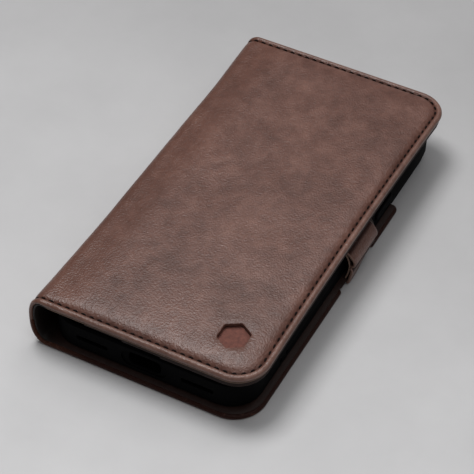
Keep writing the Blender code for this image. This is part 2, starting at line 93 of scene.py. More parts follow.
PITCH = 3.04                      # of the stitches
STITCH_INSET = 2.4
RIM_STITCH_INSET = 1.7
BOW = 2.75                        # lift of the opening edge at mid length, over the strap's tip
BOW_START_X = -38.0               # the lift starts there, beside the spine
BOW_MIDDLE_Y = -2.1
BOW_HALF = 75.0                   # and ends that far from its middle, both ways along the wallet
EMBLEM = ((INLAY_LOW + INLAY_HIGH) / 2).xy
EMBLEM_RADIUS = 5.6
EMBLEM_CORNER = 1.0
PADDING_START = 3.0               # how far in from the edge the front starts to rise over its padding
PADDING_RISE = ((1.25, 2.6), (0.2, 20.0))   # (rise, distance that it takes), first steep and then slow
DENT_DEPTH = 0.3                  # dents that the needle left along the line of stitches
DENT_REACH = 0.8

# Border of a cover: (inset, height, height round the spine), from the under side over the bead to the land
COVER_LIP = [
    (4.6, -2.05, -1.3), (3.0, -2.05, -1.3), (1.2, -2.05, -1.3), (0.5, -1.9, -1.2), (0.12, -1.5, -0.95),
    (0.0, -1.0, -0.6), (0.08, -0.5, -0.3), (0.35, -0.1, -0.05), (0.8, 0.15, 0.15), (1.3, 0.2, 0.2),
    (1.75, 0.06, 0.06), (2.1, -0.3, -0.3), (2.4, -0.52, -0.52), (2.7, -0.4, -0.4), (3.05, -0.12, -0.12),
]
FRONT_RINGS = (3.6, 4.5, 5.5, 7.0, 9.0)
BACK_RINGS = (3.6, 4.6)
RING_STEP = PITCH / 6             # spacing of the border's points
INNER_RINGS = (9.0, 4.7)
SKIN = 1.1                        # thickness of the front leather over its padding
BACK_SKIN = 0.9
SPINE_MARGIN = 14.0               # how far a cover is drawn past the spine's middle before it is cut there
LINING_INSETS = {1: 0.45, -1: 0.9}   # of the front's lining and of the back's
LINING_LEVELS = {                 # (height, height round the spine) of the two faces of each
    1: ((-2.15, -1.35), (-2.6, -2.1)),
    -1: ((-2.0, -1.35), (-2.4, -2.1)),
}
TOP_THREAD = -0.28                # heights of the threads: in the front cover's groove,
BACK_THREAD = -0.3                # in the back cover's groove
RIM_THREAD = -2.05                # and on the back cover's inner side
POCKETS = ("cash_pocket", "card_pocket_1", "card_pocket_2", "card_pocket_3")
LAYER_CELL = 7.0                  # size of the cells that the front's inner layers are cut into


# ---- outlines and the roll round the spine

def smooth(value, start, end):
    """Soft step: 0 up to start, 1 from end on. With all three negated it falls instead."""
    t = np.clip((np.asarray(value, float) - start) / (end - start), 0.0, 1.0)
    return t * t * (3 - 2 * t)


def corner_runs(corners, inset, step):
    """Closed outline of (x, y, radius) corners, moved inwards with the same number of points."""
    arcs = []
    for index, (x, y, radius) in enumerate(corners):
        here = Vector((x, y))
        way_in = (here - Vector(corners[index - 1][:2])).normalized()
        way_out = (Vector(corners[(index + 1) % len(corners)][:2]) - here).normalized()
        left_in = Vector((-way_in.y, way_in.x))
        left_out = Vector((-way_out.y, way_out.x))
        here = here + inset * (left_in + left_out) / (1.0 + left_in.dot(left_out))
        turn = math.atan2(way_in.cross(way_out), way_in.dot(way_out))
        side = math.copysign(1.0, turn)
        shrunk = max(radius - side * inset, 0.05)
        centre = here - way_in * shrunk * math.tan(abs(turn) / 2) + side * left_in * shrunk
        count = max(3, round(radius * abs(turn) / step))
        spoke = -side * left_in * shrunk
        arcs.append([centre + Matrix.Rotation(turn * k / count, 2) @ spoke for k in range(count + 1)])
    points = []
    for index, arc in enumerate(arcs):
        points += arc
        ahead = arcs[(index + 1) % len(arcs)][0]
        full = (Vector(corners[(index + 1) % len(corners)][:2]) - Vector(corners[index][:2])).length
        count = max(1, round(full / step))
        points += [arc[-1].lerp(ahead, k / count) for k in range(1, count)]
    return points


def spine_quarter(reach, power, samples=240):
    """Quarter of a superellipse from a cover's plane to the spine's middle: out, down, length so far."""
    turn = np.linspace(0.0, math.pi / 2, samples)
    out = reach * np.sin(turn) ** (2 / power)
    down = (LAND / 2) * (1 - np.cos(turn) ** (2 / power))
    length = np.concatenate([[0.0], np.cumsum(np.hypot(np.diff(out), np.diff(down)))])
    return out, down, length


SPINE_POWER = {1: 2.8, -1: 2.4}   # squareness of the turn under the front cover and over the back cover
QUARTERS = {side: [spine_quarter(reach, power) for reach in (SPINE_REACH, SPINE_REACH + SPINE_FLARE)]
            for side, power in SPINE_POWER.items()}
HALF_TURN = {side: sum(q[2][-1] for q in pair) / 2 for side, pair in QUARTERS.items()}
MIDDLE_S = {side: FOLD_S - length for side, length in HALF_TURN.items()}


def on_quarter(share, flare, side):
    """Ways out and down at a share of the turn, which is wider by flare towards the spine's ends."""
    out = np.zeros_like(share)
    down = np.zeros_like(share)
    for weight, (path_out, path_down, length) in zip((1 - flare, flare), QUARTERS[side]):
        at = np.clip(share, 0.0, 1.0) * length[-1]
        out += weight * np.interp(at, length, path_out)
        down += weight * np.interp(at, length, path_down)
    return out, down


def wrap(points, side, cut_back=0.0):
    """Rolls unrolled points (s, y, h) up: side 1 is the front cover, seen from above, side -1 the back one.
    cut_back is how far a back layer is drawn back beside the strap."""
    s, y, h = np.asarray(points, float).T
    share = np.clip((FOLD_S - s) / HALF_TURN[side], 0.0, 1.0)
    flare = smooth(np.abs(y), FLARE_START, END_Y)
    out, down = on_quarter(share, flare, side)
    out_before, down_before = on_quarter(share - SHARE_STEP, flare, side)
    out_after, down_after = on_quarter(share + SHARE_STEP, flare, side)
    slope = np.arctan2(down_after - down_before, out_after - out_before)
    angle = np.where(share > 0, slope, 0.0)
    x = np.maximum(s, FOLD_S) - out - np.sin(angle) * h
    z = (LAND if side > 0 else 0.0) - side * down + side * np.cos(angle) * h
    made = np.stack([x, y, z], axis=1)
    if side > 0:
        made[:, 2] += bow(made)
    else:
        made[:, 0] -= cut_back * recess(made)
    return made


def bow(points):
    """Lift of the front cover, which the strap's tip holds up at the opening edge."""
    points = np.asarray(points, float)
    across = np.clip((points[:, 0] - BOW_START_X) / (RIGHT - BOW_START_X), 0.0, 1.0) ** 1.2
    along = (points[:, 1] - BOW_MIDDLE_Y) / BOW_HALF
    return BOW * (1 - along ** 2) * across


def recess(points):
    """Share, from 0 to 1, of the way that the back cover's edge is drawn back beside the strap."""
    x, y = np.asarray(points, float)[:, :2].T
    along = smooth(y, RECESS[0] - 0.5, RECESS[0] + 0.3) * (1 - smooth(y, RECESS[1] - 0.3, RECESS[1] + 0.5))
    return along * np.clip((x - BACK_RIGHT + RECESS_START) / RECESS_START, 0.0, 1.0)


# ---- meshes

def sharp_smooth(mesh, angle=40):
    mesh.shade_smooth()
    mesh.set_sharp_from_angle(angle=math.radians(angle))


def put(name, body, shape, mat, angle=40, wear_and_painted_light=None):
    """Makes an object of a bmesh in millimetres. shape moves its points, whose old places are kept as rest.
    The last argument gives each point's look, from -1, darkened with painted shade, to 1, scuffed or cut
    pale, with a painted highlight on the front's bead."""
    bmesh.ops.recalc_face_normals(body, faces=body.faces)
    mesh = bpy.data.meshes.new(name)
    body.to_mesh(mesh)
    body.free()
    flat = np.zeros(len(mesh.vertices) * 3, np.float32)
    mesh.vertices.foreach_get("co", flat)
    flat = flat.reshape(-1, 3)
    rest = mesh.attributes.new("rest", "FLOAT_VECTOR", "POINT")
    rest.data.foreach_set("vector", (flat * MM).astype(np.float32).ravel())
    wear_and_painted_light_layer = mesh.attributes.new("wear_and_painted_light", "FLOAT", "POINT")
    if wear_and_painted_light:
        wear_and_painted_light_layer.data.foreach_set("value", np.asarray(wear_and_painted_light(flat), np.float32))
    moved = shape(flat) if shape else flat
    mesh.vertices.foreach_set("co", (np.asarray(moved) * MM).astype(np.float32).ravel())
    mesh.update()
    sharp_smooth(mesh, angle)
    mesh.materials.append(mat)
    piece = bpy.data.objects.new(name, mesh)
    bpy.context.scene.collection.objects.link(piece)
    return piece


def stand_for(piece, body, slot, *nodes):
    """The piece takes the place of CAD nodes, attached to one body, or with its place baked in where it is
    given a bend between two.
    """
    if isinstance(body, str):
        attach(piece, body)
    else:
        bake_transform(piece)
    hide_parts(*nodes)
    return piece


def join_rings(body, rings):
    """Joins closed rings of as many points each with quads."""
    for lower, upper in zip(rings, rings[1:]):
        for k in range(len(lower)):
            after = (k + 1) % len(lower)
            body.faces.new((lower[k], lower[after], upper[after], upper[k]))


def inside(point, loop):
    """Whether a point is inside a closed loop."""
    found = False
    for a, b in zip(loop, loop[1:] + loop[:1]):
        if (a.y > point.y) != (b.y > point.y):
            if point.x < (b.x - a.x) * (point.y - a.y) / (b.y - a.y) + a.x:
                found = not found
    return found


def fill(body, ring, height, holes=(), fine=1.0, coarse=3.0):
    """Fills a ring with small triangles at height(x, y), finer where the sheet turns round the spine."""
    loops = [[vert.co.xy for vert in loop] for loop in (ring, *holes)]

    def in_sheet(spot):
        return inside(spot, loops[0]) and not any(inside(spot, loop) for loop in loops[1:])

    known = []
    edges = []
    for loop in (ring, *holes):
        first = len(known)
        known += loop
        edges += [(first + k, first + (k + 1) % len(loop)) for k in range(len(loop))]
    low = Vector((min(p.x for p in loops[0]), min(p.y for p in loops[0])))
    high = Vector((max(p.x for p in loops[0]), max(p.y for p in loops[0])))
    spots = [vert.co.xy for vert in known]
    tree = kdtree.KDTree(len(known))
    for index, spot in enumerate(spots):
        tree.insert((*spot, 0.0), index)
    tree.balance()
    x = low.x + fine
    column = 0
    while x < high.x:
        step = fine if x < FOLD_S + 2 else coarse
        y = low.y + coarse * (0.5 + 0.5 * (column % 2))
        while y < high.y:
            spot = Vector((x, y))
            if tree.find((*spot, 0.0))[2] > 0.6 * step and in_sheet(spot):
                spots.append(spot)
            y += coarse
        x += step
        column += 1
    found = geometry.delaunay_2d_cdt(spots, edges, [], 1, 1e-5)
    verts = []
    for index, spot in enumerate(found[0]):
        source = found[3][index]
        if source and min(source) < len(known):
            verts.append(known[min(source)])
        else:
            verts.append(body.verts.new((*spot, height(spot.x, spot.y))))
    for face in found[2]:
        middle = sum((found[0][k] for k in face), Vector((0, 0))) / len(face)
        if in_sheet(middle) and len({verts[k] for k in face}) == len(face):
            body.faces.new([verts[k] for k in face])


def cut_at_middle(body, side):
    """Ends a cover at the spine's middle, with a flat cap."""
    everything = list(body.verts) + list(body.edges) + list(body.faces)
    cut = bmesh.ops.bisect_plane(body, geom=everything, dist=1e-5, plane_co=(MIDDLE_S[side], 0, 0),
                                 plane_no=(1, 0, 0), clear_inner=True)
    border = [edge for edge in cut["geom_cut"] if isinstance(edge, bmesh.types.BMEdge)]
    bmesh.ops.triangle_fill(body, edges=border, use_beauty=True)


def ring_at(body, corners, inset, step, height):
    """Ring of points at an inset from an outline, at height(s, y)."""
    return [body.verts.new((p.x, p.y, height(p.x, p.y))) for p in corner_runs(corners, inset, step)]


def border_depth(points, right):
    """How far in from a cover's outline each point lies."""
    x, y = np.asarray(points, float)[:, :2].T
    across = x - right + CORNER
    along = np.abs(y) - END_Y + CORNER
    corner = np.hypot(np.maximum(across, 0.0), np.maximum(along, 0.0))
    return CORNER - np.where((across > 0) & (along > 0), corner, np.maximum(across, along))


def front_wear_and_painted_light(points):
    """The bead is scuffed pale and carries a painted highlight along its top, and the groove that the
    stitches lie in is darkened with painted shade.
    """
    depth = border_depth(points, RIGHT)
    bead = smooth(-depth, -1.9, -1.2) * smooth(points[:, 2], -1.9, -0.9)
    groove = smooth(depth, 1.8, 2.2) * smooth(-depth, -3.1, -2.6)
    return 0.4 * bead - 0.5 * groove


def back_painted_shade(points):
    """Painted shade darkens the back cover's rim and inner side."""
    return -smooth(-points[:, 2], 0.1, 0.9)


def lining_wear(right, inset, strength):
    """A lining's cut edge shows paler along the opening edge."""
    def wear_and_painted_light(points):
        edge = border_depth(points, right) < inset
        return strength * edge * (points[:, 0] > FOLD_S)
    return wear_and_painted_light


def eased(flat, turned):
    """Height of a ring, which changes from flat on the cover to turned round the spine."""
    def height(s, y):
        return flat + (turned - flat) * float(smooth(-s, -FOLD_S - 1.5, -FOLD_S + 3.0))
    return height


def cover_corners(right, side):
    """Unrolled outline of a cover, carried on past the spine's middle to be cut there."""
    left = MIDDLE_S[side] - SPINE_MARGIN
    low = [(left, -END_Y, CORNER), (right, -END_Y, CORNER)]
    if side > 0:
        return low + [(right, END_Y, CORNER), (left, END_Y, CORNER)]
    notch = [(right, NOTCH_Y, 2.5), (NOTCH_X, NOTCH_Y, 8.0), (NOTCH_X, END_Y, 2.5)]
    return low + notch + [(left, END_Y, CORNER)]


def stitch_line(corners, inset, step=0.5):
    """Points and running length along the line of stitches."""
    points = corner_runs(corners, inset, step)
    length = [0.0]
    for a, b in zip(points, points[1:] + points[:1]):
        length.append(length[-1] + (b - a).length)
    return points, length


def crown(s, y):
    """Height of the padded front over the land, from the distance to the edge."""
    half = Vector(((RIGHT - MIDDLE_S[1] + SPINE_MARGIN) / 2, END_Y))
    middle = RIGHT - half.x
    q = Vector((abs(s - middle) - half.x + CORNER, abs(y) - half.y + CORNER))
    outside = math.hypot(max(q.x, 0.0), max(q.y, 0.0)) + min(max(q.x, q.y), 0.0) - CORNER
    depth = max(-outside - PADDING_START, 0.0)
    full = sum(rise * (1 - math.exp(-depth / way)) for rise, way in PADDING_RISE)
    taper = float(smooth(s, FOLD_S - 1.0, FOLD_S + 11.0))
    spot = Vector((s, y, 0.0))
    uneven = 0.16 * noise.noise(spot / 19.0) + 0.05 * noise.noise(spot / 6.0 + Vector((7, 3, 1)))
    edge = min(depth / 4.0, 1.0)
    return -0.1 + 0.2 * min(depth, 1.0) + full * taper + uneven * edge


def lip_rings(body, corners, lip):
    """Rings of a cover's border, dented where the needle went through."""
    length = stitch_line(corners, STITCH_INSET, RING_STEP)[1]
    rings = []
    for inset, flat, turned in lip:
        ring = ring_at(body, corners, inset, RING_STEP, eased(flat, turned))
        on_top = flat > -0.6
        depth = DENT_DEPTH * max(0.0, 1 - abs(inset - STITCH_INSET) / DENT_REACH) if on_top else 0.0
        for k, vert in enumerate(ring):
            vert.co.z -= depth * (0.5 + 0.5 * math.cos(2 * math.pi * length[k] / PITCH))
        rings.append(ring)
    return rings


def hexagon(radius):
    """Outline of the emblem, with rounded corners."""
    corners = []
    for k in range(6):
        angle = math.radians(60 * k + 30)
        x = EMBLEM.x + radius * math.cos(angle)
        y = EMBLEM.y + radius * math.sin(angle)
        corners.append((x, y, EMBLEM_CORNER))
    return corner_runs(corners, 0.0, EMBLEM_CORNER * math.pi / 6)


def make_front_leather(mat):
    """The padded skin, turned in round its border, with the emblem's opening cut through it."""
    def ceiling(s, y):
        return crown(s, y) - SKIN

    corners = cover_corners(RIGHT, 1)
    body = bmesh.new()
    inner = [ring_at(body, corners, inset, RING_STEP, ceiling) for inset in INNER_RINGS]
    lip = lip_rings(body, corners, COVER_LIP)
    outer = [ring_at(body, corners, inset, RING_STEP, crown) for inset in FRONT_RINGS]
    join_rings(body, inner + lip + outer)
    wall = []
    for grow, drop in ((0.0, SKIN), (0.0, 0.25), (0.08, 0.08), (0.25, 0.0)):
        loop = hexagon(EMBLEM_RADIUS + grow)
        wall.append([body.verts.new((p.x, p.y, crown(p.x, p.y) - drop)) for p in loop])
    join_rings(body, wall)
    fill(body, outer[-1], crown, [wall[-1]])
    fill(body, inner[0], ceiling, [wall[0]])
    cut_at_middle(body, 1)
    piece = put("front_cover_leather", body, lambda p: wrap(p, 1), mat, 60, front_wear_and_painted_light)
    return stand_for(piece, COVER_BEND, "cover_leather", "front_leather", "spine_leather")


def make_back_leather(mat):
    """The flat skin, whose bead doesn't stand up past its outer face."""
    def flat(s, y):
        return 0.0

    def ceiling(s, y):
        return -BACK_SKIN

    corners = cover_corners(BACK_RIGHT, -1)
    body = bmesh.new()
    inner = [ring_at(body, corners, INNER_RINGS[-1], RING_STEP, ceiling)]
    flattened = [(i, h * 0.97 if h < -1.2 else min(h, 0.0), t) for i, h, t in COVER_LIP]
    lip = lip_rings(body, corners, flattened)
    outer = [ring_at(body, corners, inset, RING_STEP, flat) for inset in BACK_RINGS]
    join_rings(body, inner + lip + outer)
    fill(body, outer[-1], flat)
    fill(body, inner[0], ceiling)
    cut_at_middle(body, -1)
    piece = put("back_cover_leather", body, lambda p: wrap(p, -1, LEATHER_RECESS), mat, 60, back_painted_shade)
    return stand_for(piece, BACK_BEND, "cover_leather", "back_leather", "spine_leather")


def make_lining(name, right, side, mat, bend, *nodes):
    """Lining sheet with a soft edge, which goes on round the inside of the spine."""
    inset = LINING_INSETS[side]
    (high, high_turned), (low, low_turned) = LINING_LEVELS[side]
    corners = cover_corners(right, side)
    body = bmesh.new()
    ease = min(0.15, (high - low) * 0.3)
    spec = [(inset + 3.0, high, high_turned), (inset + ease, high, high_turned),
            (inset, high - ease, high_turned - ease), (inset, low + ease, low_turned + ease),
            (inset + ease, low, low_turned), (inset + 3.0, low, low_turned)]
    rings = [ring_at(body, corners, i, 1.5, eased(a, b)) for i, a, b in spec]
    join_rings(body, rings)
    fill(body, rings[0], eased(high, high_turned))
    fill(body, rings[-1], eased(low, low_turned))
    cut_at_middle(body, side)
    piece = put(name, body, lambda p: wrap(p, side, LINING_RECESS), mat, 50,
                lining_wear(right, inset + ease / 2, float(side > 0)))
    return stand_for(piece, bend, "lining_leather", *nodes)


# ---- stitches

def stitch(body, at, along, height, up=1, lean=0.14, length=1.8, width=0.36, rings=7, sides=8):
    """A thread that comes out of one hole and dives into the next. up is -1 on an under side."""
    ahead = Vector((along.x, along.y)).normalized()
    ahead = Matrix.Rotation(lean, 2) @ ahead
    aside = Vector((-ahead.y, ahead.x))
    loops = []
    for k in range(rings):
        t = -1 + 2 * k / (rings - 1)
        girth = width * (1 - 0.75 * abs(t) ** 3)
        middle = Vector(at) + ahead * (t * length / 2)
        rise = height + up * (0.08 - 0.34 * abs(t) ** 2.5)
        loop = []
        for j in range(sides):
            angle = 2 * math.pi * j / sides
            side_way = girth * math.cos(angle)
            lift = 0.75 * girth * math.sin(angle)
            loop.append(body.verts.new((*(middle + aside * side_way), rise + lift)))
        loops.append(loop)
    join_rings(body, loops)
    body.faces.new(loops[0])
    body.faces.new(loops[-1])


def stitch_run(body, corners, inset, side, height, low_s=None, up=1):
    """Stitches along an outline, between the two ends at the spine's middle."""
    points, length = stitch_line(corners, inset)
    low_s = MIDDLE_S[side] + 1.2 if low_s is None else low_s
    count = int(length[-1] / PITCH)
    for k in range(count):
        at = (k + 0.5) * PITCH
        index = int(np.searchsorted(length, at)) - 1
        a = points[index]
        b = points[(index + 1) % len(points)]
        spot = a.lerp(b, (at - length[index]) / max(length[index + 1] - length[index], 1e-6))
        beside_strap = side < 0 and spot.x > BACK_RIGHT - 5.0 and RECESS[0] - 1.5 < spot.y < RECESS[1] + 1.5
        if spot.x > low_s and not beside_strap:
            stitch(body, spot, b - a, height(spot.x), up)


def inner_level(s):
    """Height of the outermost sheet on the front cover's inner side."""
    level = LINING_LEVELS[1][1][0]
    for node in POCKETS:
        low = box_mm(node)[0]
        if s > low.x:
            level = low.z - LAND
    return level


def make_stitching(mat):
    """The front cover's stitches, over and under it and round the spine, and then the back cover's."""
    body = bmesh.new()
    stitch_run(body, cover_corners(RIGHT, 1), STITCH_INSET, 1, lambda s: TOP_THREAD)
    stitch_run(body, cover_corners(RIGHT, 1), STITCH_INSET, 1, inner_level, FOLD_S + 1.0, -1)
    piece = put("front_stitches", body, lambda p: wrap(p, 1), mat, 60)
    spine_lines = ("spine_stitching_bottom", "spine_stitching_top")
    stand_for(piece, COVER_BEND, "thread", "front_stitching", *spine_lines)
    body = bmesh.new()
    corners = cover_corners(BACK_RIGHT, -1)
    stitch_run(body, corners, STITCH_INSET, -1, lambda s: BACK_THREAD)
    stitch_run(body, corners, RIM_STITCH_INSET, -1, lambda s: RIM_THREAD, FOLD_S + 1.0, -1)
    piece = put("back_stitches", body, lambda p: wrap(p, -1), mat, 60)
    stand_for(piece, BACK_BEND, "thread", "back_stitching", *spine_lines)


# ---- the frame's own solids, softened

def cut_in_cells(body, size):
    """Cuts a layer along lines that are the same for all, so that they bow alike and keep clear."""
    for axis in (0, 1):
        low = min(vert.co[axis] for vert in body.verts)
        high = max(vert.co[axis] for vert in body.verts)
        for k in range(math.ceil(low / size), math.floor(high / size) + 1):
            normal = [0, 0, 0]
            normal[axis] = 1
            spot = [0, 0, 0]
            spot[axis] = k * size
            everything = list(body.verts) + list(body.edges) + list(body.faces)
            bmesh.ops.bisect_plane(body, geom=everything, dist=1e-4, plane_co=spot, plane_no=normal)


def softened(node, edge, mat, shift=0.0, cells=0.0):
    """A copy of a CAD node's solid with rounded edges, cut into cells where it bows with the cover."""
    body = bmesh.new()
    body.from_mesh(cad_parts[node].data)
    bmesh.ops.scale(body, vec=(1 / MM,) * 3, verts=body.verts)
    bmesh.ops.remove_doubles(body, verts=body.verts, dist=0.002)
    bmesh.ops.dissolve_limit(body, angle_limit=math.radians(0.5), verts=body.verts, edges=body.edges)
    bmesh.ops.recalc_face_normals(body, faces=body.faces)
    if edge:
        inner = [e for e in body.edges if len(e.link_faces) == 2]
        sharp = [e for e in inner if e.calc_face_angle(0.0) > math.radians(30)]
        bmesh.ops.bevel(body, geom=sharp, offset=edge, segments=2, profile=0.6, affect="EDGES",
                        clamp_overlap=True)
    bmesh.ops.triangulate(body, faces=[face for face in body.faces if len(face.verts) > 4])
    if cells:
        cut_in_cells(body, cells)

    def shape(points):
        points = np.array(points, float)
        if cells:
            points[:, 2] += bow(points) + shift
        return points

    return put(node + "_soft", body, shape, mat, 35)


def make_front_inside(mats):
    """Padding, board, keeper, inlay and pockets, which bow with the front cover."""
    layers = [                    # (node, slot, rounding of its edges, lift)
        ("front_padding", "foam", 0.0, 0.0),
        ("front_board", "board", 0.0, 0.0),
        ("keeper_plate", "magnet_metal", 0.0, 0.0),
        ("emblem_inlay", "inlay_leather", 0.1, 0.1),
    ]
    layers += [(node, "lining_leather", 0.08, 0.0) for node in POCKETS]
    for node, slot, edge, shift in layers:
        piece = softened(node, edge, mats[slot], shift, LAYER_CELL)
        stand_for(piece, "front", slot, node)


def make_moulded(mats):
    """The tray, and its buttons, each on a body of its own name."""
    for node in ("phone_tray", "power_button", "volume_up_button", "volume_down_button"):
        piece = softened(node, 0.2, mats["tray_plastic"])
        stand_for(piece, "back" if node == "phone_tray" else node, "tray_plastic", node)


# ---- strap

STRAP_CREASE = Vector((40.35, 8.4))   # (x, z) of the crease between the strap's root and its flap
STRAP_SKIN = 1.0
STRAP_LINING = 0.7
STRAP_TUCK = 1.1                  # how far the root is drawn in at its far end
TIP_RADIUS = 4.0


def spline_points(knots, step=0.5):
    """Smooth run through (x, z) knots."""
    points = []
    knots = [Vector(k) for k in knots]
    padded = [2 * knots[0] - knots[1], *knots, 2 * knots[-1] - knots[-2]]
    for a, b, c, d in zip(padded, padded[1:], padded[2:], padded[3:]):
        count = max(2, round((c - b).length / step))
        for k in range(count):
            t = k / count
            points.append(0.5 * (2 * b + (c - a) * t + (2 * a - 5 * b + 4 * c - d) * t ** 2
                                 + (3 * b - a - 3 * c + d) * t ** 3))
    points.append(knots[-1])
    return points


def band_section(low, high, thickness, soft, across=14):
    """(y, depth) round a band's section, with edges rounded by soft."""
    nub = soft * 0.3
    row = [low + soft + (high - low - 2 * soft) * k / across for k in range(across + 1)]
    outer = [(y, 0.0) for y in row]
    inner = [(y, -thickness) for y in reversed(row)]
    high_edge = [(high - nub, -nub), (high, -soft), (high, soft - thickness), (high - nub, nub - thickness)]
    low_edge = [(low + nub, nub - thickness), (low, soft - thickness), (low, -soft), (low + nub, -nub)]
    return outer + high_edge + inner + low_edge


def strap_band(name, knots, thickness, y_span, mat, tip_radius=0.0):
    """Leather band that follows (x, z) knots along its outer face, with rounded edges and a rounded end."""
    path = spline_points(knots)
    body = bmesh.new()
    length = [0.0]
    for a, b in zip(path, path[1:]):
        length.append(length[-1] + (b - a).length)
    soft = min(0.3, thickness * 0.35)
    loops = []
    for index, spot in enumerate(path):
        before = path[max(index - 1, 0)]
        after = path[min(index + 1, len(path) - 1)]
        way = (after - before).normalized()
        out = Vector((way.y, -way.x))
        left = length[-1] - length[index]
        trim = 0.0
        if left < tip_radius:
            trim = tip_radius - math.sqrt(max(tip_radius ** 2 - (tip_radius - left) ** 2, 0.0))
        loop = []
        for y, depth in band_section(y_span[0] + trim, y_span[1] - trim, thickness, soft):
            flat = spot + out * depth
            loop.append(body.verts.new((flat.x, y, flat.y)))
        loops.append(loop)
    join_rings(body, loops)
    body.faces.new(loops[0])
    body.faces.new(loops[-1])
    low, high = y_span

    def tuck(points):
        """Draws the band's root in, more and more towards the far end."""
        points = np.array(points, float)
        share = smooth(points[:, 1], low + 3.0, high) * smooth(-points[:, 2], -7.5, -3.0)
        points[:, 0] -= STRAP_TUCK * share
        return points

    def wear_and_painted_light(points):
        """Cut edges are pale. Painted shade darkens the band along its crease and, more lightly, over its
        lower band, and a painted shadow darkens it where it goes in under the cover.
        """
        ends = (points[:, 1] < low + soft) | (points[:, 1] > high - soft)
        drop = STRAP_CREASE.y - points[:, 2]
        crease = smooth(drop, -0.9, -0.3) * smooth(-drop, -2.6, -1.2)
        under = smooth(-drop, 5.4, 6.4)
        below = smooth(drop, 0.0, 1.0)
        return np.where(ends, 1.0, -np.maximum(np.maximum(crease, under), 0.3 * below))

    return put(name, body, tuck, mat, 50, wear_and_painted_light)


def make_strap(mats):
    """Root and flap of the strap, in leather and in lining, and the magnet in its tip. Knots are (x, z)."""
    low_y = STRAP_LOW.y
    high_y = STRAP_HIGH.y
    top = TIP_HIGH.z
    end = TIP_LOW.x
    outer_low = [(39.2, 0.3), (40.0, 0.9), (40.4, 3.0), (40.95, 5.6), (41.05, 7.4), tuple(STRAP_CREASE)]
    outer_high = [tuple(STRAP_CREASE), (41.5, 9.2), (41.95, 10.5), (41.35, 12.3), (40.0, 14.0),
                  (38.4, 15.4), (36.6, top + 0.4), (33.0, top + 0.75), (30.5, top + 0.5), (end, top)]
    inner_low = [(38.7, 2.6), (39.0, 3.6), (39.6, 5.8), (39.95, 8.4)]
    inner_high = [(39.95, 8.4), (39.75, 10.5), (38.9, 12.9), (37.8, 14.2), (36.0, 14.45),
                  (33.0, 14.5), (end, 14.5)]
    outer_y = (low_y, high_y - 1.5)
    inner_y = (low_y + 0.1, high_y + 0.7)
    leather = mats["cover_leather"]
    lining = mats["lining_leather"]
    piece = strap_band("strap_base_leather", outer_low, STRAP_SKIN, outer_y, leather)
    stand_for(piece, STRAP_BEND, "cover_leather", "strap_leather")
    piece = strap_band("strap_flap_leather", outer_high, STRAP_SKIN, outer_y, leather, TIP_RADIUS)
    stand_for(piece, TIP_BEND, "cover_leather", "strap_leather", "strap_tip_leather")
    piece = strap_band("strap_base_lining", inner_low, STRAP_LINING, inner_y, lining)
    stand_for(piece, STRAP_BEND, "lining_leather", "strap_lining")
    piece = strap_band("strap_flap_lining", inner_high, STRAP_LINING, inner_y, lining, TIP_RADIUS)
    stand_for(piece, TIP_BEND, "lining_leather", "strap_lining", "strap_tip_lining")
    piece = softened("strap_magnet", 0.15, mats["magnet_metal"])
    stand_for(piece, "strap_tip", "magnet_metal", "strap_magnet")


# ---- materials

class Nodes:
    """Small helper that adds nodes to a material and links them by value."""

    def __init__(self, name):
        self.material = bpy.data.materials.new(name)
        self.material.use_nodes = True
        self.tree = self.material.node_tree
        self.shader = self.tree.nodes["Principled BSDF"]

    def add(self, kind, inputs=(), **settings):
        node = self.tree.nodes.new("ShaderNode" + kind)
        for key, value in settings.items():
            setattr(node, key, value)
        for key, value in dict(inputs).items():
            self.feed(node.inputs[key], value)
        return node

    def feed(self, socket, value):
        if isinstance(value, bpy.types.NodeSocket):
            self.tree.links.new(value, socket)
        elif isinstance(value, tuple) and socket.type == "RGBA":
            socket.default_value = (*value, 1.0)
        else:
            socket.default_value = value

    def rest(self):
        return self.add("Attribute", attribute_name="rest", attribute_type="GEOMETRY").outputs["Vector"]

    def noise(self, vector, scale, detail=2.0, roughness=0.5, distortion=0.0):
        return self.add("TexNoise", {"Vector": vector, "Scale": scale, "Detail": detail,
                                     "Roughness": roughness, "Distortion": distortion}).outputs["Fac"]

    # per-point mark: scuffed and cut edges, painted highlight above 0, painted shade below 0
    def wear_and_painted_light(self):
        return self.add("Attribute", attribute_name="wear_and_painted_light", attribute_type="GEOMETRY").outputs["Fac"]

    def mapped(self, vector, scale, turn):
        inputs = {"Vector": vector, "Rotation": (0.0, 0.0, turn), "Scale": scale}
        return self.add("Mapping", inputs).outputs[0]

    def range(self, value, low, high, to_low=0.0, to_high=1.0):
        return self.add("MapRange", {"Value": value, "From Min": low, "From Max": high,
                                     "To Min": to_low, "To Max": to_high}).outputs[0]

    def math(self, operation, a, b=0.0):
        node = self.add("Math", operation=operation)
        self.feed(node.inputs[0], a)
        self.feed(node.inputs[1], b)
        return node.outputs[0]

    def mix(self, factor, a, b, blend="MIX"):
        node = self.add("Mix", data_type="RGBA", blend_type=blend)
        self.feed(node.inputs["Factor"], factor)
        self.feed(node.inputs["A"], a)
        self.feed(node.inputs["B"], b)
        return node.outputs["Result"]

    def bump(self, height, strength, distance, normal=None):
        node = self.add("Bump", {"Height": height, "Strength": strength, "Distance": distance})
        if normal:
            self.feed(node.inputs["Normal"], normal)
        return node.outputs[0]

    def finish(self, colour, roughness, normal=None, **constants):
        self.feed(self.shader.inputs["Base Color"], colour)
        self.feed(self.shader.inputs["Roughness"], roughness)
        if normal:
            self.feed(self.shader.inputs["Normal"], normal)
        for key, value in constants.items():
            self.shader.inputs[key.replace("_", " ")].default_value = value
        return self.material


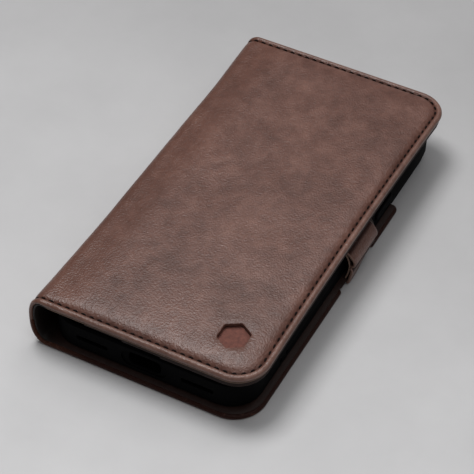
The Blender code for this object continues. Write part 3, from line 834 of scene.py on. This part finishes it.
def leather_material(name, dark, middle, light, rust, rubbed_and_painted_highlight, painted_shade):
    """Waxed pull-up leather: cloudy colour, fine pebbling, creases and a satin wax bloom."""
    n = Nodes(name)
    at = n.rest()
    clouds = n.noise(at, 34.0, 3.0, 0.55, 0.4)
    blotches = n.noise(at, 170.0, 6.0, 0.68, 0.3)
    flecks = n.noise(at, 800.0, 4.0, 0.7)
    tone = n.math("ADD", n.math("MULTIPLY", clouds, 0.4), n.math("MULTIPLY", blotches, 0.6))
    colour = n.mix(n.range(tone, 0.36, 0.5), dark, middle)
    colour = n.mix(n.range(tone, 0.5, 0.66), colour, light)
    wear_and_painted_light = n.wear_and_painted_light()
    # scuffed and cut edges pale the leather, and on the front's bead a painted highlight does too
    rubbing_and_painted_highlight = n.math("MULTIPLY", n.range(wear_and_painted_light, 0.0, 1.0), n.range(blotches, 0.35, 0.6, 0.35, 0.8))
    colour = n.mix(rubbing_and_painted_highlight, colour, rubbed_and_painted_highlight)
    # painted shade darkens the grooves, the back cover's rim and the strap's creases
    colour = n.mix(n.range(wear_and_painted_light, 0.0, -1.0), colour, painted_shade)
    s = n.add("SeparateXYZ", {"Vector": at}).outputs["X"]
    colour = n.mix(n.math("MULTIPLY", n.range(s, -0.020, -0.040), 0.55), colour, rust)
    lines = n.noise(n.mapped(at, (1.0, 0.35, 1.0), 0.75), 95.0, 5.0, 0.55, 0.8)
    lines = n.range(n.math("ABSOLUTE", n.math("SUBTRACT", lines, 0.5)), 0.0, 0.012, 1.0, 0.0)
    lines = n.math("MULTIPLY", lines, n.range(clouds, 0.45, 0.62))
    shaded = n.mix(1.0, colour, (0.6, 0.56, 0.54), "MULTIPLY")
    colour = n.mix(n.range(flecks, 0.35, 0.7, 0.0, 0.45), colour, shaded)
    colour = n.mix(n.math("MULTIPLY", lines, 0.35), colour, light)
    pebbles = n.add("TexVoronoi", {"Vector": at, "Scale": 1600.0}, feature="SMOOTH_F1").outputs["Distance"]
    fine = n.noise(at, 2200.0, 3.0, 0.6)
    normal = n.bump(blotches, 0.14, 0.0008)
    normal = n.bump(lines, 0.2, 0.00015, normal)
    normal = n.bump(pebbles, 0.5, 0.0003, normal)
    normal = n.bump(fine, 0.6, 0.00016, normal)
    roughness = n.math("ADD", n.range(clouds, 0.35, 0.65, 0.34, 0.27), n.math("MULTIPLY", flecks, 0.18))
    n.feed(n.shader.inputs["Specular IOR Level"], n.range(wear_and_painted_light, -1.0, 0.0, 0.12, 0.48))
    return n.finish(colour, roughness, normal)


def lining_material():
    n = Nodes("lining_leather")
    at = n.rest()
    clouds = n.noise(at, 420.0, 5.0, 0.6)
    colour = n.mix(n.range(clouds, 0.35, 0.65), (0.019, 0.0085, 0.0065), (0.028, 0.013, 0.010))
    s = n.add("SeparateXYZ", {"Vector": at}).outputs["X"]
    # painted shade: the lining goes near-black towards the inside of the spine
    colour = n.mix(n.range(s, -0.030, -0.038, 0.0, 0.8), colour, (0.003, 0.002, 0.0015))
    colour = n.mix(n.wear_and_painted_light(), colour, (0.21, 0.135, 0.10))
    grain = n.add("TexVoronoi", {"Vector": at, "Scale": 1700.0}).outputs["Distance"]
    normal = n.bump(grain, 0.3, 0.0001)
    return n.finish(colour, n.range(clouds, 0.3, 0.7, 0.5, 0.62), normal, Specular_IOR_Level=0.25)


def inlay_material():
    n = Nodes("inlay_leather")
    at = n.rest()
    nap = n.noise(at, 900.0, 4.0, 0.65)
    colour = n.mix(n.range(nap, 0.3, 0.7), (0.085, 0.022, 0.014), (0.17, 0.052, 0.034))
    return n.finish(colour, 0.8, n.bump(nap, 0.4, 0.0001), Sheen_Weight=0.2)


def moulded_material():
    n = Nodes("tray_plastic")
    at = n.rest()
    cloud = n.noise(at, 60.0, 3.0)
    spark = n.noise(at, 3600.0, 2.0, 0.5)
    colour = n.mix(n.range(cloud, 0.3, 0.7), (0.0010, 0.0010, 0.0012), (0.0022, 0.0023, 0.0027))
    normal = n.bump(spark, 0.25, 0.00005)
    return n.finish(colour, n.range(cloud, 0.3, 0.7, 0.6, 0.7), normal, Specular_IOR_Level=0.03)


def thread_material():
    n = Nodes("thread")
    at = n.rest()
    twist = n.add("TexWave", {"Vector": n.mapped(at, (1.0, 1.0, 1.0), 0.8), "Scale": 700.0,
                              "Distortion": 1.0}).outputs["Fac"]
    colour = n.mix(twist, (0.003, 0.002, 0.002), (0.011, 0.006, 0.005))
    return n.finish(colour, 0.8, n.bump(twist, 0.5, 0.00008), Specular_IOR_Level=0.12)


def board_material():
    n = Nodes("board")
    at = n.rest()
    fibres = n.noise(n.mapped(at, (1.0, 0.25, 1.0), 0.4), 900.0, 4.0, 0.7)
    colour = n.mix(fibres, (0.20, 0.15, 0.10), (0.38, 0.31, 0.23))
    return n.finish(colour, 0.9, n.bump(fibres, 0.4, 0.0001))


def foam_material():
    n = Nodes("foam")
    cells = n.add("TexVoronoi", {"Vector": n.rest(), "Scale": 2200.0}).outputs["Distance"]
    colour = n.mix(cells, (0.05, 0.05, 0.05), (0.13, 0.13, 0.13))
    return n.finish(colour, 0.95, n.bump(cells, 0.6, 0.0002))


def metal_material():
    n = Nodes("magnet_metal")
    haze = n.noise(n.rest(), 500.0, 4.0, 0.6)
    colour = n.mix(haze, (0.42, 0.42, 0.44), (0.6, 0.6, 0.61))
    return n.finish(colour, n.range(haze, 0.3, 0.7, 0.25, 0.42), n.bump(haze, 0.1, 0.00005), Metallic=1.0)


LEATHER_COLOURS = {
    "dark": (0.088, 0.036, 0.025),
    "middle": (0.134, 0.060, 0.044),
    "light": (0.198, 0.098, 0.074),
    "rust": (0.100, 0.036, 0.021),
    # the last two: pale of scuffed edges and of the bead's painted highlight, then painted shade
    "rubbed_and_painted_highlight": (0.25, 0.150, 0.115),
    "painted_shade": (0.030, 0.009, 0.006),
}


def make_materials():
    return {
        "cover_leather": leather_material("cover_leather", **LEATHER_COLOURS),
        "lining_leather": lining_material(),
        "inlay_leather": inlay_material(),
        "tray_plastic": moulded_material(),
        "thread": thread_material(),
        "board": board_material(),
        "foam": foam_material(),
        "magnet_metal": metal_material(),
    }


# ---- set, light and camera

FLOOR_SIZE = 6.0
LIGHTS = [                        # (name, place in metres, size, power), all aimed at the wallet
    ("window", (-0.36, 0.12, 1.20), 0.5, 10.4),
    ("back", (0.05, 0.60, 1.10), 0.7, 3.0),
    ("fill", (0.40, -0.30, 1.00), 0.8, 2.2),
]
WORLD_COLOUR = (0.95, 0.97, 1.0, 1.0)
WORLD_STRENGTH = 0.12
CAMERA_PLACE = (209.2, -411.9, 460.8)
CAMERA_DOWN = 44.92               # degrees that the camera looks down, turns from +Y and rolls
CAMERA_TURN = 27.58
CAMERA_ROLL = 0.447
LENS = 141.19


def make_floor():
    """A pale sheet, whose colour is lighter towards the camera: a painted fall-off of light."""
    n = Nodes("floor")
    at = n.add("TexCoord").outputs["Object"]
    cloud = n.range(n.noise(at, 14.0, 5.0, 0.6), 0.3, 0.7)
    nearness = n.range(n.add("SeparateXYZ", {"Vector": at}).outputs["Y"], 0.12, -0.18)
    far = n.mix(cloud, (0.38, 0.375, 0.378), (0.43, 0.425, 0.428))
    near = n.mix(cloud, (0.62, 0.615, 0.62), (0.70, 0.695, 0.70))
    grain = n.bump(n.noise(at, 350.0, 4.0, 0.6), 0.15, 0.0003)
    bpy.ops.mesh.primitive_plane_add(size=FLOOR_SIZE)
    floor = bpy.context.active_object
    floor.name = "floor"
    floor.data.materials.append(n.finish(n.mix(nearness, far, near), 0.75, grain))


def area_light(name, place, size, power):
    light = bpy.data.lights.new(name, "AREA")
    light.shape = "RECTANGLE"
    light.size = size
    light.size_y = size
    light.energy = power
    lamp = bpy.data.objects.new(name, light)
    lamp.location = place
    lamp.rotation_euler = (-Vector(place)).to_track_quat("-Z", "Y").to_euler()
    bpy.context.scene.collection.objects.link(lamp)


def make_lights():
    for light in LIGHTS:
        area_light(*light)
    world = bpy.data.worlds.new("studio")
    world.use_nodes = True
    background = world.node_tree.nodes["Background"]
    background.inputs["Color"].default_value = WORLD_COLOUR
    background.inputs["Strength"].default_value = WORLD_STRENGTH
    bpy.context.scene.world = world
    bpy.context.scene.view_settings.view_transform = "Standard"


def make_camera():
    data = bpy.data.cameras.new("camera")
    data.lens = LENS
    data.sensor_width = 36.0
    data.clip_start = 0.01
    camera = bpy.data.objects.new("camera", data)
    camera.location = Vector(CAMERA_PLACE) * MM
    tilt = Euler((math.radians(90 - CAMERA_DOWN), 0.0, math.radians(CAMERA_TURN))).to_matrix()
    camera.rotation_euler = (tilt @ Matrix.Rotation(math.radians(CAMERA_ROLL), 3, "Z")).to_euler()
    bpy.context.scene.collection.objects.link(camera)
    bpy.context.scene.camera = camera


# Bends: the two bodies, and where the leather starts and ends to turn from one to the other
COVER_BEND = ("spine", "front", (-41.8, 0, 15.5), (-35.5, 0, 21.8))
BACK_BEND = ("back", "spine", (-35.5, 0, -0.8), (-41.8, 0, 5.0))
STRAP_BEND = ("back", "strap", (39.5, 0, 2.2), (40.6, 0, 5.4))
TIP_BEND = ("strap", "strap_tip", (41.2, 0, 12.0), (37.2, 0, 15.6))


def main():
    make_camera()
    mats = make_materials()
    make_front_leather(mats["cover_leather"])
    make_back_leather(mats["cover_leather"])
    lining = mats["lining_leather"]
    make_lining("front_cover_lining", RIGHT, 1, lining, COVER_BEND, "front_lining", "spine_lining")
    make_lining("back_cover_lining", BACK_RIGHT, -1, lining, BACK_BEND, "back_lining", "spine_lining")
    make_stitching(mats["thread"])
    make_front_inside(mats)
    piece = softened("back_board", 0.0, mats["board"])
    stand_for(piece, "back", "board", "back_board")
    make_moulded(mats)
    make_strap(mats)
    make_floor()
    make_lights()


main()
bpy.context.view_layer.update()
